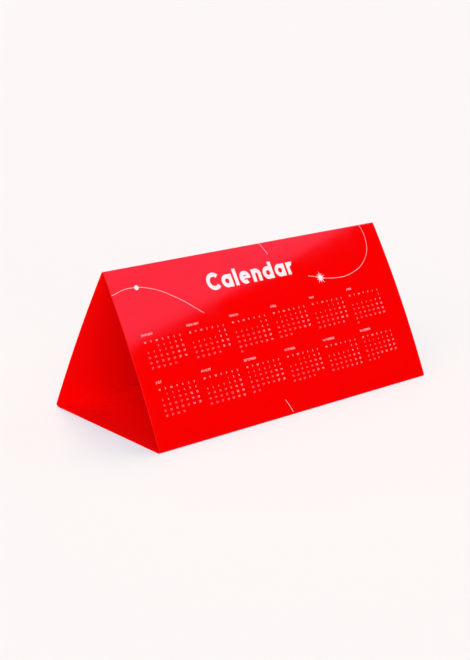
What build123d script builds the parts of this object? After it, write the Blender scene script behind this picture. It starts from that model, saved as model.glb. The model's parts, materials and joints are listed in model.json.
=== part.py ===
"""Desk calendar folded into a tent from one sheet of printed card.

The sheet is four panels in a row, parted by three creases: the base, the front,
the back and a narrow glue flap. Folded up they make a three-sided tube that lies
on its base. The flap comes down inside the tube and is stuck on top of the base
with a strip of double-sided tape. The card pushes back at its creases, so the
front and the back bulge outwards a little.

Millimetres. X runs along the ridge, -Y is the side that faces the reader, +Z is
up. The origin is the middle of the footprint, on the desk.
"""
import os
from math import asin, atan2, cos, degrees, hypot, radians, sin

from build123d import *

# The folded calendar
length = 210.0  # along the ridge
depth = 99.0  # footprint, over the two bottom creases
height = 90.5  # desk to the top of the ridge
front_bow = 2.0  # how far the front bulges from a flat panel
back_bow = 1.2

# The sheet
card = 0.4  # thickness of a 350 gsm board
crease_radius = 0.8  # of a crease, to the middle of the card
flap_width = 20.0  # free edge of the flap to its crease
base_setback = 1.5  # the base's free edge stops this far short of the rear crease

# The strip of double-sided tape under the flap
tape = 0.1  # thickness
tape_width = 12.0
tape_inset = 3.0  # from the flap's free edge and from its ends

# Centres of the creases, in the plane across the ridge. The outside of a crease
# is the furthest that the card reaches there.
crease_outside = crease_radius + card / 2
flap_underside = card + tape
front_centre = Vector(crease_outside - depth / 2, crease_outside)
rear_centre = Vector(depth / 2 - crease_outside, flap_underside + crease_outside)
ridge_centre = Vector(0, height - crease_outside)

down = -90.0  # the outward direction of the base and of the flap, in degrees
below = 360.0 + down  # the same way, reached by turning on from the ridge


def towards(angle: float) -> Vector:
    """The unit vector at an angle in degrees, in the plane across the ridge."""
    return Vector(cos(radians(angle)), sin(radians(angle)))


def outward_ends(start: Vector, end: Vector, bow: float) -> tuple[float, float]:
    """The outward directions of a bowed panel at its two ends, in degrees.

    start and end are the centres of the creases at its ends, with the outside
    of the tent on the left of the way from start to end.
    """
    chord = end - start
    spine_radius = (chord.length**2 / 4 + bow**2) / (2 * bow)
    half_turn = degrees(asin(chord.length / (2 * spine_radius)))
    square = degrees(atan2(chord.Y, chord.X)) + 90
    return square + half_turn, square - half_turn


def panel_arc(start: Vector, end: Vector, bow: float) -> list[Vector]:
    """Start, middle and end of a bowed panel's middle line."""
    first, last = outward_ends(start, end, bow)
    middle = (start + end) / 2 + towards((first + last) / 2) * (bow + crease_radius)
    return [
        start + towards(first) * crease_radius,
        middle,
        end + towards(last) * crease_radius,
    ]


# Outward directions where each panel meets its crease
front_low, front_high = outward_ends(front_centre, ridge_centre, front_bow)
back_high, back_low = outward_ends(ridge_centre, rear_centre, back_bow)

# How far the card turns at each crease, which is also how far the crease opens
# before the sheet runs straight through it
front_turn = below - front_low
ridge_turn = front_high - back_high
rear_turn = back_low - down


def hinge_axis(centre: Vector, outward: float, turn: float) -> Vector:
    """The point about which a crease opens without changing the card's length.

    It lies on the crease's own middle direction, outward of its centre, so that
    the two panels end up as far apart as the bent strip between them is long.
    """
    half = radians(turn) / 2
    return centre + towards(outward) * (crease_radius * half / sin(half))


front_axis = hinge_axis(front_centre, (below + front_low) / 2, front_turn)
ridge_axis = hinge_axis(ridge_centre, (front_high + back_high) / 2, ridge_turn)
rear_axis = hinge_axis(rear_centre, (back_low + down) / 2, rear_turn)

# The panels
with BuildPart() as base_panel:
    with BuildSketch(Plane.YZ):
        with BuildLine():
            Line(
                (depth / 2 - base_setback, card / 2),
                (front_centre.X, card / 2),
            )
        trace(line_width=card)
    extrude(amount=length / 2, both=True)
base_panel.part.label = "base_panel"

with BuildPart() as front_panel:
    with BuildSketch(Plane.YZ):
        with BuildLine():
            ThreePointArc(*panel_arc(front_centre, ridge_centre, front_bow))
        trace(line_width=card)
    extrude(amount=length / 2, both=True)
front_panel.part.label = "front_panel"

with BuildPart() as back_panel:
    with BuildSketch(Plane.YZ):
        with BuildLine():
            ThreePointArc(*panel_arc(ridge_centre, rear_centre, back_bow))
        trace(line_width=card)
    extrude(amount=length / 2, both=True)
back_panel.part.label = "back_panel"

flap_edge = depth / 2 - flap_width
with BuildPart() as glue_flap:
    with BuildSketch(Plane.YZ):
        with BuildLine():
            Line(
                (rear_centre.X, flap_underside + card / 2),
                (flap_edge, flap_underside + card / 2),
            )
        trace(line_width=card)
    extrude(amount=length / 2, both=True)
glue_flap.part.label = "glue_flap"

# The creases, each a bent strip of the same card between two panels
with BuildPart() as front_crease:
    with BuildSketch(Plane.YZ):
        with BuildLine():
            CenterArc(front_centre, crease_radius, front_low, front_turn)
        trace(line_width=card)
    extrude(amount=length / 2, both=True)
front_crease.part.label = "front_crease"

with BuildPart() as ridge_crease:
    with BuildSketch(Plane.YZ):
        with BuildLine():
            CenterArc(ridge_centre, crease_radius, back_high, ridge_turn)
        trace(line_width=card)
    extrude(amount=length / 2, both=True)
ridge_crease.part.label = "ridge_crease"

with BuildPart() as rear_crease:
    with BuildSketch(Plane.YZ):
        with BuildLine():
            CenterArc(rear_centre, crease_radius, down, rear_turn)
        trace(line_width=card)
    extrude(amount=length / 2, both=True)
rear_crease.part.label = "rear_crease"

# The tape that closes the tube
tape_middle = flap_edge + tape_inset + tape_width / 2
with BuildPart() as adhesive_strip:
    with BuildSketch(Plane.XY.offset(card)):
        with Locations((0, tape_middle)):
            Rectangle(length - 2 * tape_inset, tape_width)
    extrude(amount=tape)
adhesive_strip.part.label = "adhesive_strip"

os.makedirs("parts", exist_ok=True)
for piece in (
    base_panel,
    front_crease,
    front_panel,
    ridge_crease,
    back_panel,
    rear_crease,
    glue_flap,
    adhesive_strip,
):
    export_step(piece.part, f"parts/{piece.part.label}.step")

for name, axis, turn in (
    ("front crease", front_axis, front_turn),
    ("ridge crease", ridge_axis, ridge_turn),
    ("rear crease", rear_axis, rear_turn),
):
    print(f"{name}: axis at Y {axis.X:.3f} Z {axis.Y:.3f}, turn {turn:.2f} degrees")
slant = hypot(ridge_centre.X - front_centre.X, ridge_centre.Y - front_centre.Y)
print(f"front panel, crease to crease: {slant:.2f}")
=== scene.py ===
import json
from calendar import monthcalendar
from math import atan2, cos, pi, radians, sin

import bmesh
import bpy
from mathutils import Matrix, Vector


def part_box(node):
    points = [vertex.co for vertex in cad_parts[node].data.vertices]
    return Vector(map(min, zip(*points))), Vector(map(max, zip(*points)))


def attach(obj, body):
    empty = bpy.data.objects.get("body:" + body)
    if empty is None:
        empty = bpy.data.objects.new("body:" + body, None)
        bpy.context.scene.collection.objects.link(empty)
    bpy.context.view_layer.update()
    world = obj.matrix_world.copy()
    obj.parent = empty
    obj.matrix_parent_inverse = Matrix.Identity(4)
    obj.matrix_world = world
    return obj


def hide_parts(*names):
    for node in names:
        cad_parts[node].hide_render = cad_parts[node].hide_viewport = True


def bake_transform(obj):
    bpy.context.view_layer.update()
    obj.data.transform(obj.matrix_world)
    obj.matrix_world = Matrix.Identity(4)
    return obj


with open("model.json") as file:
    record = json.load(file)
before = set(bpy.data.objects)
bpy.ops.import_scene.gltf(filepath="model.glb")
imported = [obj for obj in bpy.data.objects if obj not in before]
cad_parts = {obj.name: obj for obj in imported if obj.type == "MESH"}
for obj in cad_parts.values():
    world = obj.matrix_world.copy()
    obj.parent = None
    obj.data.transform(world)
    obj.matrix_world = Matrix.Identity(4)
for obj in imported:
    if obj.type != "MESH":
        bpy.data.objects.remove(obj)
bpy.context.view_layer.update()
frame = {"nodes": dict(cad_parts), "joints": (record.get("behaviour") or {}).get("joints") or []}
mm = 0.001


# The folded sheet, worked out from the frame
baseLow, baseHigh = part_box("base_panel")
frontCreaseLow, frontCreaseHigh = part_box("front_crease")
rearCreaseLow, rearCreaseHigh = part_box("rear_crease")
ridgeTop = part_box("ridge_crease")[1].z
flapLow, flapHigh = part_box("glue_flap")

card = baseHigh.z - baseLow.z  # thickness
length = baseHigh.x - baseLow.x  # along the ridge
creaseOutside = frontCreaseHigh.y - frontCreaseLow.y
creaseMiddle = creaseOutside - card / 2  # radius of a crease, to the middle of the card

# Centres of the three creases, across the ridge: (Y, Z)
frontCentre = Vector((frontCreaseHigh.y, frontCreaseLow.z + creaseOutside))
rearCentre = Vector((rearCreaseLow.y, rearCreaseLow.z + creaseOutside))
ridgeCentre = Vector((0, ridgeTop - creaseOutside))

down = -pi / 2
turns = {joint["name"]: radians(joint["range_deg"][1]) for joint in frame["joints"]}


def squareTo(start, end):
    # outward direction of a flat panel between two crease centres, outside on the left
    chord = end - start
    return atan2(chord.y, chord.x) + pi / 2


# Outward directions where the panels meet their creases. The front's bow shows in how
# far its crease opens, and the back's bow in what is left at the ridge.
frontSquare = squareTo(frontCentre, ridgeCentre)
backSquare = squareTo(ridgeCentre, rearCentre)
frontLow = down + 2 * pi - turns["front_fold"]
frontHigh = 2 * frontSquare - frontLow
backHigh = frontHigh - turns["ridge_fold"]
backLow = 2 * backSquare - backHigh


def bowedPanel(start, end, first, last):
    # a panel's middle line as part of a circle; directions fall as the line runs on
    spine = (end - start).length / (2 * sin((first - last) / 2))
    middle = (start + end) / 2
    square = (first + last) / 2
    centre = middle - Vector((cos(square), sin(square))) * spine * cos((first - last) / 2)
    return {"centre": centre, "radius": spine + creaseMiddle, "first": first, "last": last}


def bend(centre, first, last):
    return {"centre": centre, "radius": creaseMiddle, "first": first, "last": last}


def flat(startY, endY, z):
    return {"start": Vector((startY, z)), "run": startY - endY}


# The sheet from the base's free edge round to the flap's. Arcs give their centre,
# radius and outward directions; flat stretches run towards the reader, outside down.
stretches = {
    "base_panel": flat(baseHigh.y, frontCentre.x, baseLow.z + card / 2),
    "front_crease": bend(frontCentre, down + 2 * pi, frontLow),
    "front_panel": bowedPanel(frontCentre, ridgeCentre, frontLow, frontHigh),
    "ridge_crease": bend(ridgeCentre, frontHigh, backHigh),
    "back_panel": bowedPanel(ridgeCentre, rearCentre, backHigh, backLow),
    "rear_crease": bend(rearCentre, backLow, down),
    "glue_flap": flat(rearCentre.x, flapLow.y, flapLow.z + card / 2),
}


def runOf(name):
    # length of a stretch along the middle of the card
    part = stretches[name]
    return part.get("run") or part["radius"] * (part["first"] - part["last"])


def folded(name, x, along, lift):
    # a point of the flat sheet, brought to its place on the folded one
    part = stretches[name]
    if "run" in part:
        return Vector((x, part["start"].x - along, part["start"].y - lift))
    angle = part["first"] - along / part["radius"]
    reach = part["radius"] + lift
    return Vector((x, part["centre"].x + cos(angle) * reach, part["centre"].y + sin(angle) * reach))


print("sheet unfolds to", round(sum(runOf(name) for name in stretches) / mm, 1), "mm")


# Materials

def nodeGroup(name, inputs, outputs):
    group = bpy.data.node_groups.new(name, "ShaderNodeTree")
    for label, value in inputs.items():
        kind = "NodeSocketColor" if isinstance(value, tuple) else "NodeSocketFloat"
        socket = group.interface.new_socket(label, in_out="INPUT", socket_type=kind)
        socket.default_value = value
    for label, kind in outputs.items():
        group.interface.new_socket(label, in_out="OUTPUT", socket_type=kind)
    return group, group.nodes.new("NodeGroupInput"), group.nodes.new("NodeGroupOutput")


def addNode(tree, kind, settings=None, **values):
    # a node with its settings, and values or links for its sockets by name, or by number as i0
    node = tree.nodes.new(kind)
    for key, value in (settings or {}).items():
        setattr(node, key, value)
    for key, value in values.items():
        socket = node.inputs[int(key[1:]) if key[1:].isdigit() else key.replace("_", " ")]
        if isinstance(value, bpy.types.NodeSocket):
            tree.links.new(value, socket)
        else:
            socket.default_value = value
    return node


def mathNode(tree, operation, first, second=0.0, clamp=False):
    settings = {"operation": operation, "use_clamp": clamp}
    return addNode(tree, "ShaderNodeMath", settings, i0=first, i1=second).outputs[0]


def mixColour(tree, share, first, second):
    node = addNode(tree, "ShaderNodeMix", {"data_type": "RGBA"}, i0=share, i6=first, i7=second)
    return node.outputs[2]


def spread(tree, value, low, high, outLow=0.0, outHigh=1.0):
    settings = {"interpolation_type": "SMOOTHSTEP"}
    node = addNode(tree, "ShaderNodeMapRange", settings, i0=value, i1=low, i2=high, i3=outLow, i4=outHigh)
    return node.outputs[0]


noiseRange = (0.3, 0.7)  # where nearly all of a noise's values lie
paper = {
    "fibreStretch": (0.45, 1.0, 1.0),  # the lower, the longer the fibres
    "fibreRoughness": 0.62,
    "pits": 0.25,  # depth beside the fibres
}


def makePaperGrain():
    # fibres under the print: a height, and a slow mottle for colour and gloss
    inputs = {"Fibre size": 0.6, "Mottle size": 14.0}
    outputs = {"Height": "NodeSocketFloat", "Mottle": "NodeSocketFloat"}
    group, given, out = nodeGroup("paper grain", inputs, outputs)
    place = addNode(group, "ShaderNodeTexCoord").outputs["Object"]
    stretched = addNode(group, "ShaderNodeMapping", i1=place, i3=paper["fibreStretch"]).outputs[0]
    fine = mathNode(group, "DIVIDE", 1 / mm, given.outputs["Fibre size"])
    slow = mathNode(group, "DIVIDE", 1 / mm, given.outputs["Mottle size"])
    rough = paper["fibreRoughness"]
    fibres = addNode(group, "ShaderNodeTexNoise", Vector=stretched, Scale=fine, Detail=4.0, Roughness=rough)
    pits = addNode(group, "ShaderNodeTexVoronoi", Vector=place, Scale=fine)
    mottle = addNode(group, "ShaderNodeTexNoise", Vector=place, Scale=slow, Detail=3.0, Roughness=0.5)
    height = mathNode(group, "MULTIPLY_ADD", pits.outputs["Distance"], paper["pits"])
    group.links.new(fibres.outputs["Fac"], height.node.inputs[2])
    group.links.new(height, out.inputs["Height"])
    group.links.new(mottle.outputs["Fac"], out.inputs["Mottle"])
    return group


rubbing = {
    "nibbles": 0.9 / mm,  # how fine, along the edge
    "patches": 0.12 / mm,
    "patchRim": (0.5, 0.62),  # no wear below, full wear above
}


def makeEdgeWear():
    # rubbed patches along the cut edges; reads the flat sheet's own map
    inputs = {"Width": 0.35, "Amount": 0.5}
    group, given, out = nodeGroup("edge wear", inputs, {"Mask": "NodeSocketFloat"})
    sheetMap = addNode(group, "ShaderNodeUVMap", {"uv_map": "sheet"}).outputs[0]
    across = addNode(group, "ShaderNodeSeparateXYZ", i0=sheetMap)
    fromLeft = mathNode(group, "MULTIPLY", across.outputs["X"], length / mm)
    fromRight = mathNode(group, "SUBTRACT", length / mm, fromLeft)
    nearest = mathNode(group, "MINIMUM", fromLeft, fromRight)
    place = addNode(group, "ShaderNodeTexCoord").outputs["Object"]
    nibbles = addNode(group, "ShaderNodeTexNoise", Vector=place, Scale=rubbing["nibbles"], Detail=3.0)
    reach = mathNode(group, "MULTIPLY", nibbles.outputs["Fac"], given.outputs["Width"])
    close = mathNode(group, "LESS_THAN", nearest, reach)
    patches = addNode(group, "ShaderNodeTexNoise", Vector=place, Scale=rubbing["patches"], Detail=1.0)
    here = spread(group, patches.outputs["Fac"], *rubbing["patchRim"])
    worn = mathNode(group, "MULTIPLY", close, here)
    group.links.new(mathNode(group, "MULTIPLY", worn, given.outputs["Amount"]), out.inputs["Mask"])
    return group


paperGrain = makePaperGrain()
edgeWear = makeEdgeWear()


def useGroup(tree, group, **values):
    node = addNode(tree, "ShaderNodeGroup", {"node_tree": group})
    for key, value in values.items():
        node.inputs[key.replace("_", " ")].default_value = value
    return node.outputs


def newMaterial(name):
    material = bpy.data.materials.new(name)
    material.use_nodes = True
    tree = material.node_tree
    shader = tree.nodes["Principled BSDF"]
    return material, tree, shader


# Red card: gloss laminate outside, bare inside; the inside painted lighter, the creases painted with shade

redCard = {
    "outside": ((0.865, 0.0, 0.0, 1), (0.845, 0.0, 0.0, 1)),  # dye, and where it lies deeper; held darker than the inside's
    # the inside's lighter red is painted light, standing in for light bounced round inside the tent; the card
    # is the same red right through
    "inside": ((0.985, 0.0, 0.0, 1), (0.975, 0.0, 0.0, 1)),
    "worn": (0.90, 0.03, 0.03, 1),
    # painted shade down the middle of the creases
    "paintedCreaseShade": (0.45, 0.0, 0.01, 1),
    "outsideGloss": 0.35,  # specular level
    "insideGloss": 0.12,
    "laminateRoughness": 0.085,
    "bareRoughness": 0.55,
    "roughnessSpread": 0.015,  # either way, with the mottle
    "wornRoughness": 0.3,  # added where the card is rubbed or crushed
    "wear": 0.5,
    # how strongly the creases are painted with shade and roughened
    "creaseShadeAndWear": 0.6,
    "creaseReach": (0.45, 0.05),  # painted shade and wear from here to here, off the crease's middle
    "crackStretch": (0.15, 1.0, 1.0),
    "crackScale": 4.0 / mm,
    "crackRim": (0.4, 0.7),
    "crackLeast": 0.5,  # share of the painted shade and wear left between the cracks
    "mottleRim": (0.35, 0.65),
    "outsideFibre": 0.7,  # millimetres
    "insideFibre": 0.45,
    "foldedFibre": 0.4,
    "fibreDepth": 0.006 * mm,
    "fibreStrength": 0.35,
}


def addFibres(tree, shader, grain, strength, depth):
    # fine relief over the surface
    bump = addNode(tree, "ShaderNodeBump", Strength=strength, Distance=depth, Height=grain["Height"])
    tree.links.new(bump.outputs[0], shader.inputs["Normal"])


def makeRedCard(name, side, roughness, fibre, foldShadeAndWear=0.0):
    # card dyed red right through, its inside painted lighter; the last argument paints shade down the middle
    # of a crease, broken up by a crack pattern, and roughens it there
    material, tree, shader = newMaterial(name)
    grain = useGroup(tree, paperGrain, Fibre_size=fibre)
    worn = useGroup(tree, edgeWear, Amount=redCard["wear"])["Mask"]
    mottle = spread(tree, grain["Mottle"], *redCard["mottleRim"])
    colour = mixColour(tree, worn, mixColour(tree, mottle, *redCard[side]), redCard["worn"])
    # painted shade down the crease's middle, broken up by a crack pattern
    if foldShadeAndWear:
        sheetMap = addNode(tree, "ShaderNodeUVMap", {"uv_map": "sheet"}).outputs[0]
        along = addNode(tree, "ShaderNodeSeparateXYZ", i0=sheetMap).outputs["Y"]
        offMiddle = mathNode(tree, "ABSOLUTE", mathNode(tree, "SUBTRACT", along, 0.5))
        shadeFalloff = spread(tree, offMiddle, *redCard["creaseReach"])
        place = addNode(tree, "ShaderNodeTexCoord").outputs["Object"]
        long = addNode(tree, "ShaderNodeMapping", i1=place, i3=redCard["crackStretch"]).outputs[0]
        cracks = addNode(tree, "ShaderNodeTexNoise", Vector=long, Scale=redCard["crackScale"], Detail=4.0)
        cracked = spread(tree, cracks.outputs["Fac"], *redCard["crackRim"], redCard["crackLeast"], 1.0)
        shadeAndWearMask = mathNode(tree, "MULTIPLY", mathNode(tree, "MULTIPLY", shadeFalloff, cracked), foldShadeAndWear)
        colour = mixColour(tree, shadeAndWearMask, colour, redCard["paintedCreaseShade"])
        worn = mathNode(tree, "MAXIMUM", worn, shadeAndWearMask)
    tree.links.new(colour, shader.inputs["Base Color"])
    low, high = roughness - redCard["roughnessSpread"], roughness + redCard["roughnessSpread"]
    gloss = spread(tree, grain["Mottle"], *noiseRange, low, high)
    dulled = mathNode(tree, "MULTIPLY_ADD", worn, redCard["wornRoughness"])
    tree.links.new(gloss, dulled.node.inputs[2])
    tree.links.new(dulled, shader.inputs["Roughness"])
    addFibres(tree, shader, grain, redCard["fibreStrength"], redCard["fibreDepth"])
    shader.inputs["Specular IOR Level"].default_value = redCard[side + "Gloss"]
    return material


cutEdge = {
    "colours": ((0.93, 0.006, 0.006, 1), (0.80, 0.0, 0.0, 1)),
    "fibre": 0.12,  # millimetres
    "fluffScale": 900.0,
    "fluffDepth": 0.02 * mm,
    "fluffStrength": 0.6,
    "roughness": 0.85,
    "gloss": 0.1,
}


def makeBoardCore():
    # the cut edge, dyed like the faces and a little fluffy
    material, tree, shader = newMaterial("board core")
    sheetMap = addNode(tree, "ShaderNodeUVMap", {"uv_map": "sheet"}).outputs[0]
    grain = useGroup(tree, paperGrain, Fibre_size=cutEdge["fibre"])
    fluff = addNode(tree, "ShaderNodeTexNoise", Vector=sheetMap, Scale=cutEdge["fluffScale"], Detail=3.0)
    shade = spread(tree, fluff.outputs["Fac"], *noiseRange)
    tree.links.new(mixColour(tree, shade, *cutEdge["colours"]), shader.inputs["Base Color"])
    addFibres(tree, shader, grain, cutEdge["fluffStrength"], cutEdge["fluffDepth"])
    shader.inputs["Roughness"].default_value = cutEdge["roughness"]
    shader.inputs["Specular IOR Level"].default_value = cutEdge["gloss"]
    return material


inks = {
    # the pink cast of the bold lettering is painted red bounce light from the card
    "bold lettering": ((0.93, 0.80, 0.81, 1), (0.89, 0.755, 0.775, 1)),
    "fine lettering": ((0.90, 0.52, 0.55, 1), (0.86, 0.45, 0.49, 1)),  # the red closes in on it
    "tinted lettering": ((0.87, 0.26, 0.29, 1), (0.83, 0.20, 0.24, 1)),
}
inkFilm = {"roughness": (0.08, 0.12), "fibre": 0.5, "mottle": 6.0}  # sizes in millimetres


def makeInk(name):
    # white ink, under the same laminate; the bold lettering's pink cast is painted red bounce light
    material, tree, shader = newMaterial(name)
    grain = useGroup(tree, paperGrain, Fibre_size=inkFilm["fibre"], Mottle_size=inkFilm["mottle"])
    colour = mixColour(tree, grain["Mottle"], *inks[name])
    tree.links.new(colour, shader.inputs["Base Color"])
    gloss = spread(tree, grain["Mottle"], *noiseRange, *inkFilm["roughness"])
    tree.links.new(gloss, shader.inputs["Roughness"])
    addFibres(tree, shader, grain, redCard["fibreStrength"], redCard["fibreDepth"])
    shader.inputs["Specular IOR Level"].default_value = redCard["outsideGloss"]
    return material


stickyTape = {
    "colours": ((0.85, 0.80, 0.73, 1), (0.92, 0.89, 0.84, 1)),
    "roughness": (0.15, 0.4),
    "milkyRim": (0.42, 0.6),  # clear below, milky above
    "stretch": (0.2, 1.0, 1.0),  # the lower, the longer the streaks
    "airScale": 0.5 / mm,
    "airDepth": 0.02 * mm,
    "airStrength": 0.5,
}


def makeTape():
    # milky film with trapped air in streaks
    material, tree, shader = newMaterial("double sided tape")
    place = addNode(tree, "ShaderNodeTexCoord").outputs["Object"]
    streaks = addNode(tree, "ShaderNodeMapping", i1=place, i3=stickyTape["stretch"]).outputs[0]
    air = addNode(tree, "ShaderNodeTexNoise", Vector=streaks, Scale=stickyTape["airScale"], Detail=4.0)
    milky = spread(tree, air.outputs["Fac"], *stickyTape["milkyRim"])
    tree.links.new(mixColour(tree, milky, *stickyTape["colours"]), shader.inputs["Base Color"])
    gloss = spread(tree, air.outputs["Fac"], *noiseRange, *stickyTape["roughness"])
    tree.links.new(gloss, shader.inputs["Roughness"])
    addFibres(tree, shader, {"Height": air.outputs["Fac"]}, stickyTape["airStrength"], stickyTape["airDepth"])
    return material


laminated, bare = redCard["laminateRoughness"], redCard["bareRoughness"]
laminatedRed = makeRedCard("laminated red print", "outside", laminated, redCard["outsideFibre"])
insideRed = makeRedCard("inside red print", "inside", bare, redCard["insideFibre"])
# the creases get painted shade and rougher card
shadeAndWear = redCard["creaseShadeAndWear"]
outsideFoldShaded = makeRedCard("folded red print", "outside", laminated, redCard["foldedFibre"], foldShadeAndWear=shadeAndWear)
insideFoldShaded = makeRedCard("creased inside", "inside", bare, redCard["insideFibre"], foldShadeAndWear=shadeAndWear)
boardCore = makeBoardCore()
boldInk = makeInk("bold lettering")
fineInk = makeInk("fine lettering")
tintedInk = makeInk("tinted lettering")
doubleSidedTape = makeTape()
print("materials ready:", len(bpy.data.materials))


# The card: each stretch is cut flat, then folded

cutCard = {
    "alongRidge": 42,  # grid steps from end to end
    "flatSteps": 12,
    "bowedSteps": 40,
    "creaseSteps": 20,
    "edgeRounding": 0.06 * mm,  # of the die-cut edges
    "smoothUnder": radians(15),  # keeps the rounding out of the panels' shading
    "faceSlope": 0.95,  # Z of the normals beyond which a face is not cut edge
}


def keepPiece(bm, name, materials):
    mesh = bpy.data.meshes.new(name)
    bm.to_mesh(mesh)
    bm.free()
    for material in materials:
        mesh.materials.append(material)
    piece = bpy.data.objects.new(name, mesh)
    bpy.context.scene.collection.objects.link(piece)
    return piece


def roundCutEdges(bm, run, freeStart, freeEnd):
    # only where the sheet is cut, so that its stretches still meet face to face
    tolerance = 0.001 * mm

    def onCut(edge):
        ends = edge.verts
        if all(abs(abs(v.co.x) - length / 2) < tolerance for v in ends):
            return True
        if freeStart and all(v.co.y < tolerance for v in ends):
            return True
        return freeEnd and all(v.co.y > run - tolerance for v in ends)

    sharp = [e for e in bm.edges if len(e.link_faces) == 2 and e.calc_face_angle(0) > 1 and onCut(e)]
    bmesh.ops.bevel(
        bm, geom=sharp, offset=cutCard["edgeRounding"], segments=2, profile=0.5, affect="EDGES", material=-1
    )


def makeStretch(name, pieceName, outside, inside, steps, freeStart=False, freeEnd=False):
    run = runOf(name)
    bm = bmesh.new()
    bmesh.ops.create_grid(bm, x_segments=cutCard["alongRidge"], y_segments=steps, size=0.5)
    bmesh.ops.scale(bm, vec=(length, run, 1), verts=bm.verts)
    bmesh.ops.translate(bm, vec=(0, run / 2, card / 2), verts=bm.verts)
    top = bm.faces[:]
    made = bmesh.ops.extrude_face_region(bm, geom=top, use_keep_orig=True)
    under = [v for v in made["geom"] if isinstance(v, bmesh.types.BMVert)]
    bmesh.ops.translate(bm, vec=(0, 0, -card), verts=under)
    bmesh.ops.recalc_face_normals(bm, faces=bm.faces)
    roundCutEdges(bm, run, freeStart, freeEnd)
    bm.normal_update()
    for face in bm.faces:
        # 0 outside, 1 inside, 2 cut edge with its rounding
        onFace = abs(face.normal.z) > cutCard["faceSlope"]
        face.material_index = 2 if not onFace else (0 if face.normal.z > 0 else 1)
    sheetMap = bm.loops.layers.uv.new("sheet")
    for face in bm.faces:
        face.smooth = True
        for loop in face.loops:
            loop[sheetMap].uv = (loop.vert.co.x / length + 0.5, loop.vert.co.y / run)
    for edge in bm.edges:
        edge.smooth = len(edge.link_faces) == 2 and edge.calc_face_angle(0) < cutCard["smoothUnder"]
    for vert in bm.verts:
        vert.co = folded(name, *vert.co)
    bmesh.ops.recalc_face_normals(bm, faces=bm.faces)
    piece = keepPiece(bm, pieceName, [outside, inside, boardCore])
    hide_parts(name)
    return piece


def rideAcross(piece):
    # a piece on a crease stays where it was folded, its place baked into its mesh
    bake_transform(piece)


few, many = cutCard["flatSteps"], cutCard["bowedSteps"]
basePanel = makeStretch("base_panel", "base_card", laminatedRed, insideRed, few, freeStart=True)
frontPanel = makeStretch("front_panel", "front_card", laminatedRed, insideRed, many)
backPanel = makeStretch("back_panel", "back_card", laminatedRed, insideRed, many)
glueFlap = makeStretch("glue_flap", "flap_card", laminatedRed, insideRed, few, freeEnd=True)
for piece, body, slot in (
    (basePanel, "base", "plain_card"),
    (frontPanel, "front", "printed_card"),
    (backPanel, "back", "printed_card"),
    (glueFlap, "flap", "plain_card"),
):
    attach(piece, body)

for crease, pieceName, before, after in (
    ("front_crease", "front_fold_card", "base", "front"),
    ("ridge_crease", "ridge_fold_card", "front", "back"),
    ("rear_crease", "rear_fold_card", "back", "flap"),
):
    piece = makeStretch(crease, pieceName, outsideFoldShaded, insideFoldShaded, cutCard["creaseSteps"])
    rideAcross(piece)

tape = frame["nodes"]["adhesive_strip"]
tape.data.materials.clear()
tape.data.materials.append(doubleSidedTape)
print("card folded")


# The print. It is drawn flat, X to the right and Y up the front from the middle of the
# ridge, so that the front lies below zero and the back above. Then it is folded on.

printing = {
    "proud": 0.03 * mm,  # of the ink over the card
    "sunk": 0.04 * mm,
    "bendEvery": 1.8 * mm,  # large shapes are cut across so often, to follow the bow
    "ridgeSteps": 8,
}
halfRidge = runOf("ridge_crease") / 2


def onCard(x, y, lift):
    outside = card / 2 + lift
    if y < -halfRidge:
        return folded("front_panel", x, runOf("front_panel") + y + halfRidge, outside)
    if y > halfRidge:
        return folded("back_panel", x, y - halfRidge, outside)
    return folded("ridge_crease", x, y + halfRidge, outside)


def thicken(bm):
    # flat faces to a closed layer of ink
    made = bmesh.ops.extrude_face_region(bm, geom=bm.faces[:], use_keep_orig=True)
    raised = [v for v in made["geom"] if isinstance(v, bmesh.types.BMVert)]
    bmesh.ops.translate(bm, vec=(0, 0, printing["proud"] + printing["sunk"]), verts=raised)
    bmesh.ops.translate(bm, vec=(0, 0, -printing["sunk"]), verts=bm.verts)
    bmesh.ops.recalc_face_normals(bm, faces=bm.faces)


def cutAcross(bm, y, clearAbove=False, clearBelow=False):
    everything = bm.verts[:] + bm.edges[:] + bm.faces[:]
    made = bmesh.ops.bisect_plane(
        bm, geom=everything, dist=1e-7, plane_co=(0, y, 0), plane_no=(0, 1, 0),
        clear_outer=clearAbove, clear_inner=clearBelow,
    )
    if clearAbove or clearBelow:
        rim = [e for e in made["geom_cut"] if isinstance(e, bmesh.types.BMEdge)]
        bmesh.ops.holes_fill(bm, edges=rim, sides=0)


def bendable(bm, low, high, step):
    y = low + step
    while y < high:
        cutAcross(bm, y)
        y += step


def printPiece(bm, name, materials, body="front", turned=False):
    # turned puts a drawing made for the front on the back, upright from behind
    if turned:
        bmesh.ops.rotate(bm, cent=(0, 0, 0), matrix=Matrix.Rotation(pi, 3, "Z"), verts=bm.verts)
        name, body = "back_" + name, "back"
    bmesh.ops.triangulate(bm, faces=[f for f in bm.faces if len(f.verts) > 4])
    for vert in bm.verts:
        vert.co = onCard(*vert.co)
    piece = keepPiece(bm, name, materials)
    if body:
        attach(piece, body)
    return piece


def copyInto(bm, mesh, x, y, size, tinted=False):
    before = len(bm.verts), len(bm.faces)
    bm.from_mesh(mesh)
    bm.verts.ensure_lookup_table()
    bm.faces.ensure_lookup_table()
    added = bm.verts[before[0]:]
    for face in bm.faces[before[1]:]:
        face.material_index = 1 if tinted else 0
    bmesh.ops.scale(bm, vec=(size, size, 1), verts=added)
    bmesh.ops.translate(bm, vec=(x, y, 0), verts=added)


# Small type

smallType = {
    "capHeight": 0.682,  # of the typeface, as a share of its size
    "light": -0.003,  # outline moved out, as a share of the size
    "bold": 0.0,
    "curveSteps": 1,
}
typeset = {}


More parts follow.
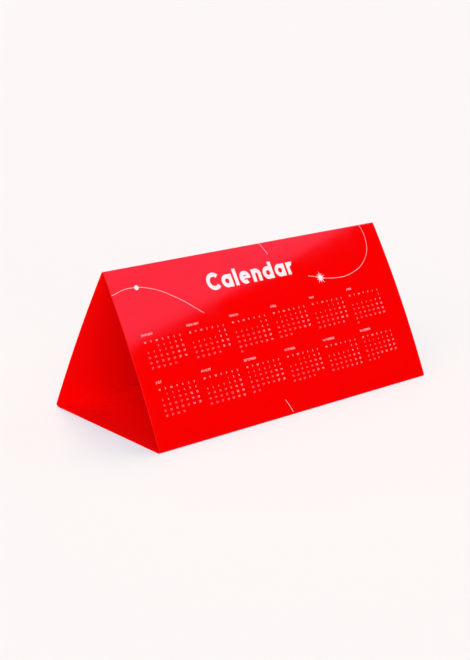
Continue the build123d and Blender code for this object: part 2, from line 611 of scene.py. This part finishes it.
def wordMesh(words, weight):
    # set once at size 1, centred or from the left, then copied wherever it is needed
    if (words, weight) not in typeset:
        text = bpy.data.curves.new("type", "FONT")
        text.body = words
        text.offset = smallType[weight]
        text.resolution_u = smallType["curveSteps"]
        text.align_x = "LEFT" if len(words) > 2 else "CENTER"
        holder = bpy.data.objects.new("type", text)
        mesh = bpy.data.meshes.new_from_object(holder)
        bm = bmesh.new()
        bm.from_mesh(mesh)
        bmesh.ops.remove_doubles(bm, verts=bm.verts, dist=1e-5)
        thicken(bm)
        bm.to_mesh(mesh)
        bm.free()
        bpy.data.objects.remove(holder)
        bpy.data.curves.remove(text)
        typeset[words, weight] = mesh
    return typeset[words, weight]


monthGrid = {
    "year": 2025,
    "names": "JANUARY FEBRUARY MARCH APRIL MAY JUNE JULY AUGUST SEPTEMBER OCTOBER NOVEMBER DECEMBER".split(),
    "weekdays": "MTWTFSS",
    "bold": {(1, 1), (12, 25), (12, 26)},  # public holidays on weekdays, beside the weekends
    "perRow": 6,
    "left": 10.0 * mm,
    "across": 31.4 * mm,
    "down": 26.8 * mm,
    "nameLine": 39.7 * mm,  # lines of type, from the ridge
    "weekdayLine": 43.8 * mm,
    "firstWeekLine": 46.75 * mm,
    "weekStep": 2.88 * mm,
    "dayStep": 4.0 * mm,
    "firstDay": 1.1 * mm,
    "typeHeight": 1.1 * mm,
    "nameHeight": 1.25 * mm,
}


def printMonth(number, turned):
    grid = monthGrid
    row, column = divmod(number - 1, grid["perRow"])
    left = grid["left"] + column * grid["across"] - length / 2
    top = -row * grid["down"]
    size = grid["typeHeight"] / smallType["capHeight"]
    nameSize = grid["nameHeight"] / smallType["capHeight"]
    bm = bmesh.new()
    name = grid["names"][number - 1]
    copyInto(bm, wordMesh(name, "bold"), left, top - grid["nameLine"], nameSize)

    def dayAt(weekday):
        return left + grid["firstDay"] + weekday * grid["dayStep"]

    for weekday, letter in enumerate(grid["weekdays"]):
        copyInto(bm, wordMesh(letter, "light"), dayAt(weekday), top - grid["weekdayLine"], size)
    year = grid["year"] + (1 if turned else 0)
    for week, days in enumerate(monthcalendar(year, number)):
        line = top - grid["firstWeekLine"] - week * grid["weekStep"]
        for weekday, day in enumerate(days):
            if day:
                heavy = weekday > 4 or (number, day) in grid["bold"]
                figure = wordMesh(str(day), "bold" if heavy else "light")
                copyInto(bm, figure, dayAt(weekday), line, size, tinted=not heavy)
    return printPiece(bm, name.lower() + "_print", [fineInk, tintedInk], turned=turned)


# The title, in strokes of one pen: arcs and bars

title = {
    "words": "Calendar",
    "pen": 2.45 * mm,
    "centre": 98.4 * mm,
    "baseline": 22.6 * mm,
    "xHeight": 7.7 * mm,
    "capHeight": 10.3 * mm,
    "overshoot": 0.12 * mm,  # of round letters past the lines of type
    "arch": 2.2 * mm,  # middle radius of n and r
    "crossbar": 1.6 * mm,
    "gap": 1.6 * mm,
    "arcSteps": 40,  # in a whole turn
    "opening": 42,  # of the C, degrees either side of level
    "eStart": -12,  # the e's bowl runs from here, just under its crossbar
    "eSweep": 312,
    "rEnd": 62,  # where the arch of the r stops
    "sliver": 0.004 * mm,  # corners closer than this are merged
}


def bar(bm, start, end, width):
    # level ends, so slanted bars finish flush with the line of type
    ends = [bm.verts.new((start[0] + side * width / 2, start[1], 0)) for side in (-1, 1)]
    made = bmesh.ops.extrude_edge_only(bm, edges=[bm.edges.new(ends)])
    moved = [v for v in made["geom"] if isinstance(v, bmesh.types.BMVert)]
    bmesh.ops.translate(bm, vec=(end[0] - start[0], end[1] - start[1], 0), verts=moved)


def arc(bm, centre, radius, first, sweep):
    # a pen stroke round part of a circle, angles in degrees
    middle = Vector((centre[0], centre[1], 0))
    way = Vector((cos(radians(first)), sin(radians(first)), 0))
    ends = [bm.verts.new(middle + way * (radius + side * title["pen"] / 2)) for side in (-1, 1)]
    edge = bm.edges.new(ends)
    steps = max(3, round(title["arcSteps"] * abs(sweep) / 360))
    bmesh.ops.spin(
        bm, geom=[*ends, edge], cent=middle, axis=(0, 0, 1), angle=radians(sweep),
        steps=steps, use_merge=abs(sweep) == 360, use_duplicate=False,
    )


def drawLetter(rounds, bars, letter, x):
    # adds one letter at x, on the line Y = 0, and returns how wide it is
    pen, high, arch = title["pen"], title["xHeight"], title["arch"]
    half = pen / 2
    tall = title["capHeight"]
    bowl = high / 2 - half + title["overshoot"]
    if letter == "C":
        ring = tall / 2 - half + title["overshoot"]
        arc(rounds, (x + half + ring, tall / 2), ring, title["opening"], 360 - 2 * title["opening"])
        return half + ring + (ring + half) * cos(radians(title["opening"]))
    if letter == "l":
        bar(bars, (x + half, tall), (x + half, 0), pen)
        return pen
    if letter in "nr":
        centre = (x + half + arch, high + title["overshoot"] - half - arch)
        bar(bars, (x + half, high), (x + half, 0), pen)
        if letter == "r":
            arc(rounds, centre, arch, 180, title["rEnd"] - 180)
            return half + arch + (arch + half) * cos(radians(title["rEnd"]))
        arc(rounds, centre, arch, 180, -180)
        bar(bars, (centre[0] + arch, centre[1]), (centre[0] + arch, 0), pen)
        return pen + 2 * arch
    centre = (x + half + bowl, high / 2)
    if letter == "e":
        arc(rounds, centre, bowl, title["eStart"], title["eSweep"])
        low = high / 2 - title["crossbar"] / 2
        bar(bars, (centre[0], low), (centre[0], low + title["crossbar"]), 2 * bowl + half)
    else:
        arc(rounds, centre, bowl, 0, 360)
        stem = tall if letter == "d" else high
        bar(bars, (centre[0] + bowl, stem), (centre[0] + bowl, 0), pen)
    return pen + 2 * bowl


def joinStrokes(rounds, bars):
    # the two sets of strokes, fused where they cross
    holders = []
    for bm in (rounds, bars):
        thicken(bm)
        mesh = bpy.data.meshes.new("strokes")
        bmesh.ops.scale(bm, vec=(1 / mm, 1 / mm, 1 / mm), verts=bm.verts)
        bm.to_mesh(mesh)
        bm.free()
        holder = bpy.data.objects.new("strokes", mesh)
        bpy.context.scene.collection.objects.link(holder)
        holders.append(holder)
    union = holders[0].modifiers.new("union", "BOOLEAN")
    union.operation = "UNION"
    union.solver = "EXACT"
    union.use_self = True
    union.object = holders[1]
    bpy.context.view_layer.update()
    fused = bpy.data.meshes.new_from_object(holders[0].evaluated_get(bpy.context.evaluated_depsgraph_get()))
    bm = bmesh.new()
    bm.from_mesh(fused)
    bmesh.ops.scale(bm, vec=(mm, mm, mm), verts=bm.verts)
    for holder in holders:
        bpy.data.objects.remove(holder)
    return bm


def printTitle(turned):
    rounds, bars = bmesh.new(), bmesh.new()
    x = 0
    for letter in title["words"]:
        x += drawLetter(rounds, bars, letter, x) + title["gap"]
    width = x - title["gap"]
    bm = joinStrokes(rounds, bars)
    left = title["centre"] - width / 2 - length / 2
    bottom = -title["baseline"]
    bmesh.ops.translate(bm, vec=(left, bottom, 0), verts=bm.verts)
    bendable(bm, bottom, bottom + title["capHeight"], printing["bendEvery"])
    bmesh.ops.remove_doubles(bm, verts=bm.verts, dist=title["sliver"])
    printPiece(bm, "title_print", [boldInk], turned=turned)
    return width


# The ornament: fine lines, a dot and a star. Points are millimetres from the left end
# and down the front from the ridge; above the ridge they are on the back.

ornament = {
    "lineWidth": 0.22 * mm,
    "lineSteps": 14,  # between two points
    "lines": {
        "dotted_line": [(0.1, 14.1), (12, 11.9), (26.2, 14.2), (42.2, 22.9), (56.2, 34.2)],
        "middle_line": [(104, -9.5), (109, -5.2), (112.6, 0), (116.4, 7.9)],
        "star_line": [
            (163, -26), (185, -18), (195.6, -4), (197.6, 12),
            (190.8, 22.8), (176.5, 29.5), (160, 30.2), (141, 25.7),
        ],
        "foot_line": [(94.4, 93.6), (96.4, 98.2), (97.7, 101.6)],
        "back_foot_line": [(111.0, -93.7), (109.2, -98.0), (107.9, -101.4)],
        "back_dotted_line": [(0.1, -15.5), (16, -11.6), (38, -17.2), (58, -31)],
    },
    "dots": {"dot": (17.5, 12.3), "back_dot": (26, -13.0)},
    "dotRadius": 1.4 * mm,
    "dotSteps": 28,
    "stars": {"star": (149.8, 28.3), "back_star": (163, -26)},
    "rays": 10,
    "longRay": 4.0 * mm,
    "shortRay": 3.3 * mm,
    "starWaist": 1.25 * mm,
}


def placed(point):
    return Vector((point[0] * mm - length / 2, -point[1] * mm, 0))


def lineMesh(points):
    curve = bpy.data.curves.new("line", "CURVE")
    curve.dimensions = "3D"
    curve.resolution_u = ornament["lineSteps"]
    curve.bevel_depth = ornament["lineWidth"] / 2
    curve.bevel_resolution = 1
    curve.use_fill_caps = True
    spline = curve.splines.new("BEZIER")
    spline.bezier_points.add(len(points) - 1)
    for knot, point in zip(spline.bezier_points, points):
        knot.co = placed(point)
        knot.handle_left_type = knot.handle_right_type = "AUTO"
    holder = bpy.data.objects.new("line", curve)
    mesh = bpy.data.meshes.new_from_object(holder)
    bpy.data.objects.remove(holder)
    bpy.data.curves.remove(curve)
    return mesh


def printLine(name, points):
    # a line may run over the ridge: each panel takes its own stretch, and so does the crease
    flatten = (printing["proud"] + printing["sunk"]) / ornament["lineWidth"]
    mesh = lineMesh(points)
    bands = {
        "front": (-length, -halfRidge),
        "ridge": (-halfRidge, halfRidge),
        "back": (halfRidge, length),
    }
    for band, (low, high) in bands.items():
        bm = bmesh.new()
        bm.from_mesh(mesh)
        bmesh.ops.remove_doubles(bm, verts=bm.verts, dist=1e-7)
        if not any(low < v.co.y < high for v in bm.verts):
            bm.free()
            continue
        bmesh.ops.scale(bm, vec=(1, 1, flatten), verts=bm.verts)
        bmesh.ops.translate(bm, vec=(0, 0, (printing["proud"] - printing["sunk"]) / 2), verts=bm.verts)
        if min(v.co.y for v in bm.verts) < low:
            cutAcross(bm, low, clearBelow=True)
        if max(v.co.y for v in bm.verts) > high:
            cutAcross(bm, high, clearAbove=True)
        if band == "ridge":
            bendable(bm, low, high, (high - low) / printing["ridgeSteps"])
            piece = printPiece(bm, name + "_on_ridge", [boldInk], body=None)
            rideAcross(piece)
        elif name.startswith("back") or band == "front":
            printPiece(bm, name, [boldInk], body=band)
        else:
            printPiece(bm, name + "_on_back", [boldInk], body=band)


def printDot(name, point):
    bm = bmesh.new()
    bmesh.ops.create_circle(bm, cap_ends=True, segments=ornament["dotSteps"], radius=ornament["dotRadius"])
    thicken(bm)
    bmesh.ops.translate(bm, vec=placed(point), verts=bm.verts)
    printPiece(bm, name, [boldInk], body="back" if point[1] < 0 else "front")


def printStar(name, point):
    bm = bmesh.new()
    circle = bmesh.ops.create_circle(bm, cap_ends=True, segments=2 * ornament["rays"], radius=1.0)
    for index, vert in enumerate(circle["verts"]):
        reach = ornament["starWaist"]  # the hollows between the rays
        if index % 2 == 0:
            reach = ornament["longRay"] if index % 4 == 0 else ornament["shortRay"]
        vert.co *= reach
    thicken(bm)
    bmesh.ops.translate(bm, vec=placed(point), verts=bm.verts)
    printPiece(bm, name, [boldInk], body="back" if point[1] < 0 else "front")


for turned in (False, True):
    for number in range(1, 13):
        printMonth(number, turned)
    titleWidth = printTitle(turned)
print("months printed; the title is", round(titleWidth / mm, 1), "mm wide")
for name, points in ornament["lines"].items():
    printLine(name, points)
for name, point in ornament["dots"].items():
    printDot(name, point)
for name, point in ornament["stars"].items():
    printStar(name, point)
print("ornament printed")


# Studio

camera = {
    "azimuth": -40.76,  # degrees
    "elevation": 16.39,
    "roll": 0.45,
    "distance": 3.865 * length,
    "shiftRight": 0.0360 * length,
    "shiftUp": 0.0314 * length,
    "lens": 73.9,  # millimetres on a 36 mm film
}


def makeCamera():
    azimuth, elevation = radians(camera["azimuth"]), radians(camera["elevation"])
    back = Vector((sin(azimuth) * cos(elevation), -cos(azimuth) * cos(elevation), sin(elevation)))
    right = Vector((cos(azimuth), sin(azimuth), 0))
    up = back.cross(right)
    roll = radians(camera["roll"])
    rolledRight = right * cos(roll) + up * sin(roll)
    rolledUp = up * cos(roll) - right * sin(roll)
    middle = Vector((0, 0, ridgeTop / 2))
    place = middle + back * camera["distance"]
    place -= rolledRight * camera["shiftRight"] + rolledUp * camera["shiftUp"]
    data = bpy.data.cameras.new("camera")
    data.lens = camera["lens"]
    holder = bpy.data.objects.new("camera", data)
    turned = Matrix((rolledRight, rolledUp, back)).transposed().to_4x4()
    holder.matrix_world = Matrix.Translation(place) @ turned
    bpy.context.scene.collection.objects.link(holder)
    bpy.context.scene.camera = holder


floorPaint = {
    "across": 16.0,
    "colours": ((0.52, 0.36, 0.25, 1), (0.515, 0.356, 0.247, 1)),
    "cloudScale": 3.0,
    "glow": (0.388, 0.527, 0.640, 1),  # bluer than the paint, which cools the shadow
    "roughness": 0.9,
}


def makeFloor():
    bm = bmesh.new()
    bmesh.ops.create_grid(bm, x_segments=4, y_segments=4, size=floorPaint["across"] / 2)
    material, tree, shader = newMaterial("studio floor")
    place = addNode(tree, "ShaderNodeTexCoord").outputs["Object"]
    cloud = addNode(tree, "ShaderNodeTexNoise", Vector=place, Scale=floorPaint["cloudScale"], Detail=2.0)
    colour = mixColour(tree, cloud.outputs["Fac"], *floorPaint["colours"])
    tree.links.new(colour, shader.inputs["Base Color"])
    shader.inputs["Emission Color"].default_value = floorPaint["glow"]
    shader.inputs["Emission Strength"].default_value = 1.0
    shader.inputs["Roughness"].default_value = floorPaint["roughness"]
    shader.inputs["Specular IOR Level"].default_value = 0.0
    floor = keepPiece(bm, "studio_floor", [material])
    floor.visible_glossy = False


lights = {
    "surround": 0.45,  # even white light, left out of reflections
    "key": {"energy": 1.5, "spread": 30, "from": (0.27, 0.42, 1.0)},
    "fill": {"energy": 3.12, "spread": 75, "from": (-0.75, -0.63, 0.21)},
    "softbox": {
        "energy": 90.0,
        "colour": (0.52, 0.52, 1.0),
        "size": (3.0, 6.0),
        # its near edge mirrors in the front panel from the left edge to the right end of the ridge
        "edgeMiddle": (1.685, -1.535, 1.5),
        "edgeWay": (0.438, 0.754),
    },
}


def makeSurround():
    world = bpy.data.worlds.new("studio")
    world.use_nodes = True
    tree = world.node_tree
    white = tree.nodes["Background"]
    white.inputs["Color"].default_value = (1.0, 1.0, 1.0, 1)
    white.inputs["Strength"].default_value = lights["surround"]
    dark = addNode(tree, "ShaderNodeBackground", Color=(0.0, 0.0, 0.0, 1), Strength=0.0)
    reflected = addNode(tree, "ShaderNodeLightPath").outputs["Is Glossy Ray"]
    mix = addNode(tree, "ShaderNodeMixShader", i0=reflected, i1=white.outputs[0], i2=dark.outputs[0])
    tree.links.new(mix.outputs[0], tree.nodes["World Output"].inputs["Surface"])
    bpy.context.scene.world = world


def makeSun(name):
    settings = lights[name]
    sun = bpy.data.lights.new(name, "SUN")
    sun.energy = settings["energy"]
    sun.angle = radians(settings["spread"])
    holder = bpy.data.objects.new(name, sun)
    holder.rotation_euler = Vector(settings["from"]).to_track_quat("Z", "Y").to_euler()
    holder.visible_glossy = False
    bpy.context.scene.collection.objects.link(holder)


def makeSoftbox():
    settings = lights["softbox"]
    box = bpy.data.lights.new("softbox", "AREA")
    box.color = settings["colour"]
    box.shape = "RECTANGLE"
    box.size, box.size_y = settings["size"]
    box.energy = settings["energy"]
    holder = bpy.data.objects.new("softbox", box)
    along, across = settings["edgeWay"]
    edgeAngle = atan2(across, along)
    inward = Vector((-sin(edgeAngle), cos(edgeAngle), 0))
    holder.location = Vector(settings["edgeMiddle"]) + inward * box.size / 2
    holder.rotation_euler = (0, 0, edgeAngle - pi / 2)
    holder.visible_diffuse = False
    holder.visible_camera = False
    bpy.context.scene.collection.objects.link(holder)


makeCamera()
makeFloor()
makeSurround()
makeSun("key")
makeSun("fill")
makeSoftbox()
bpy.context.scene.view_settings.view_transform = "Standard"
print("studio ready")
